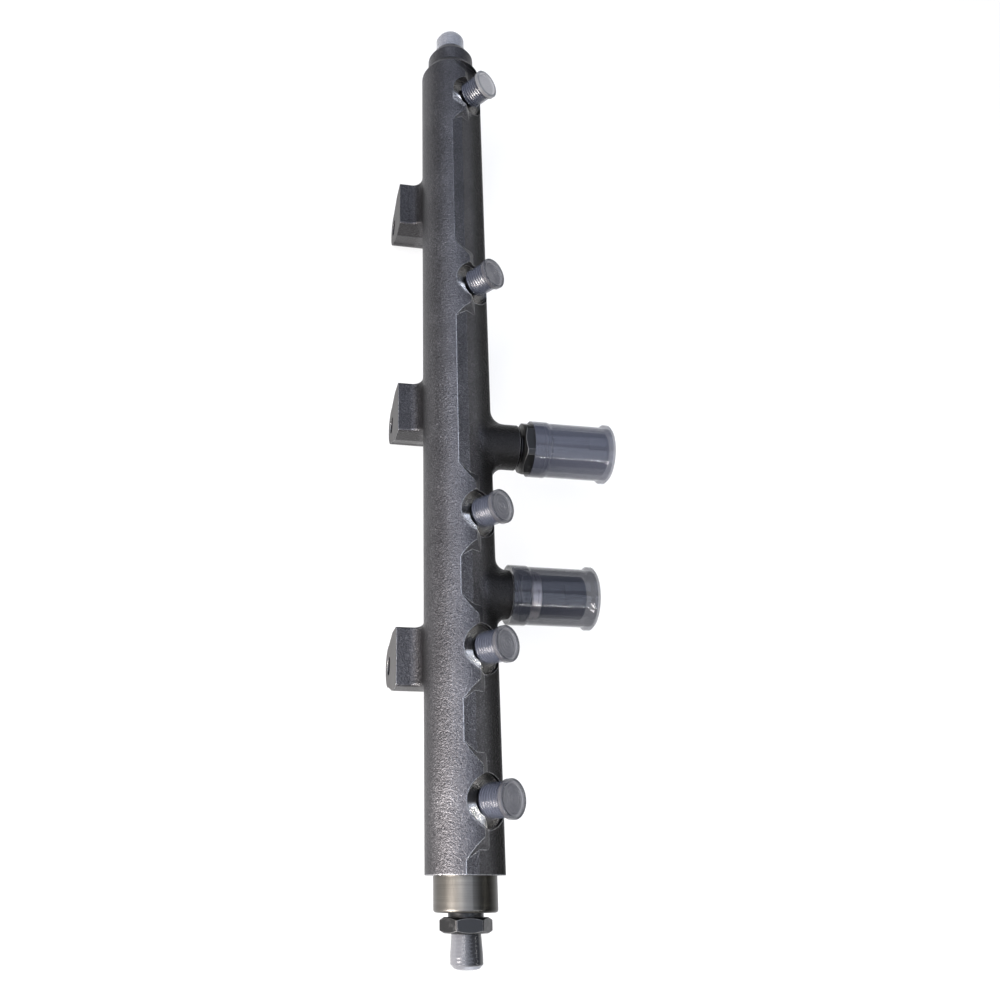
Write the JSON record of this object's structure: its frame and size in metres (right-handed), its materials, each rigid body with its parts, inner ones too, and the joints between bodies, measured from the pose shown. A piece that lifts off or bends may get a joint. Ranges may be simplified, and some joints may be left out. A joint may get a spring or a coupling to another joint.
{
  "type": "fuel rail",
  "caption": "Forged high-pressure common rail with capped side nipples, a pressure-limiting valve, a pressure sensor and a regulating device under long caps.",
  "frame": {"origin": "centre of the middle lug's bolt hole, on the milled mounting faces", "axes": "+Y along the rail toward its plain nipple end, -X out of the milled lug faces toward the engine, +Z from the bolt holes toward the rail"},
  "size_m": [0.1157, 0.549, 0.076],
  "materials": {
    "forging": "dark phosphated forged steel, fine peened texture, machined spot faces and milled lug faces",
    "clear_cap": "thin translucent moulded plastic",
    "milky_cap": "milky translucent moulded plastic",
    "smoke_cap": "thin translucent smoky plastic tube",
    "black_steel": "black oxided steel",
    "bright_steel": "zinc plated, turned",
    "hard_steel": "ground tool steel",
    "spring_steel": "drawn spring wire",
    "soft_steel": "soft steel sealing ring",
    "black_plug": "glass-filled nylon, near black",
    "board": "green lacquered board",
    "pins": "plated brass terminals",
    "seal_rubber": "black rubber",
    "bobbin": "natural nylon",
    "copper": "enamelled copper wire"
  },
  "bodies": {
    "rail": {"rail_body": "forging", "outlet_cap_1": "clear_cap", "outlet_cap_2": "clear_cap", "outlet_cap_3": "clear_cap", "outlet_cap_4": "clear_cap", "inlet_cap": "clear_cap", "end_cap": "milky_cap", "valve_cap": "milky_cap", "sensor_cap": "smoke_cap", "regulator_cap": "smoke_cap", "valve_body": "black_steel", "valve_seal": "soft_steel", "valve_seat": "hard_steel", "valve_spring": "spring_steel", "valve_shim": "hard_steel", "valve_stop_ring": "hard_steel", "sensor_body": "black_steel", "sensor_seal": "soft_steel", "sensor_cell": "hard_steel", "sensor_board": "board", "sensor_plug": "black_plug", "sensor_pins": "pins", "sensor_o_ring": "seal_rubber", "regulator_body": "black_steel", "regulator_housing": "bright_steel", "regulator_seal": "soft_steel", "regulator_seat": "hard_steel", "regulator_spring": "spring_steel", "regulator_bobbin": "bobbin", "regulator_winding": "copper", "regulator_core": "soft_steel", "regulator_plug": "black_plug", "regulator_pins": "pins", "regulator_o_ring": "seal_rubber"},
    "poppet": {"valve_poppet": "hard_steel"},
    "needle": {"regulator_armature": "soft_steel", "regulator_ball": "hard_steel"}
  },
  "joints": [
    {"name": "poppet_lift", "type": "slide", "parent": "rail", "child": "poppet", "axis": [0, -1, 0], "range_m": [0, 0.0012], "stiffness_N_per_m": 20000, "deforming": ["valve_spring"]},
    {"name": "needle_lift", "type": "slide", "parent": "rail", "child": "needle", "axis": [1, 0, 0], "range_m": [0, 0.0004], "stiffness_N_per_m": 5000, "deforming": ["regulator_spring"]}
  ]
}
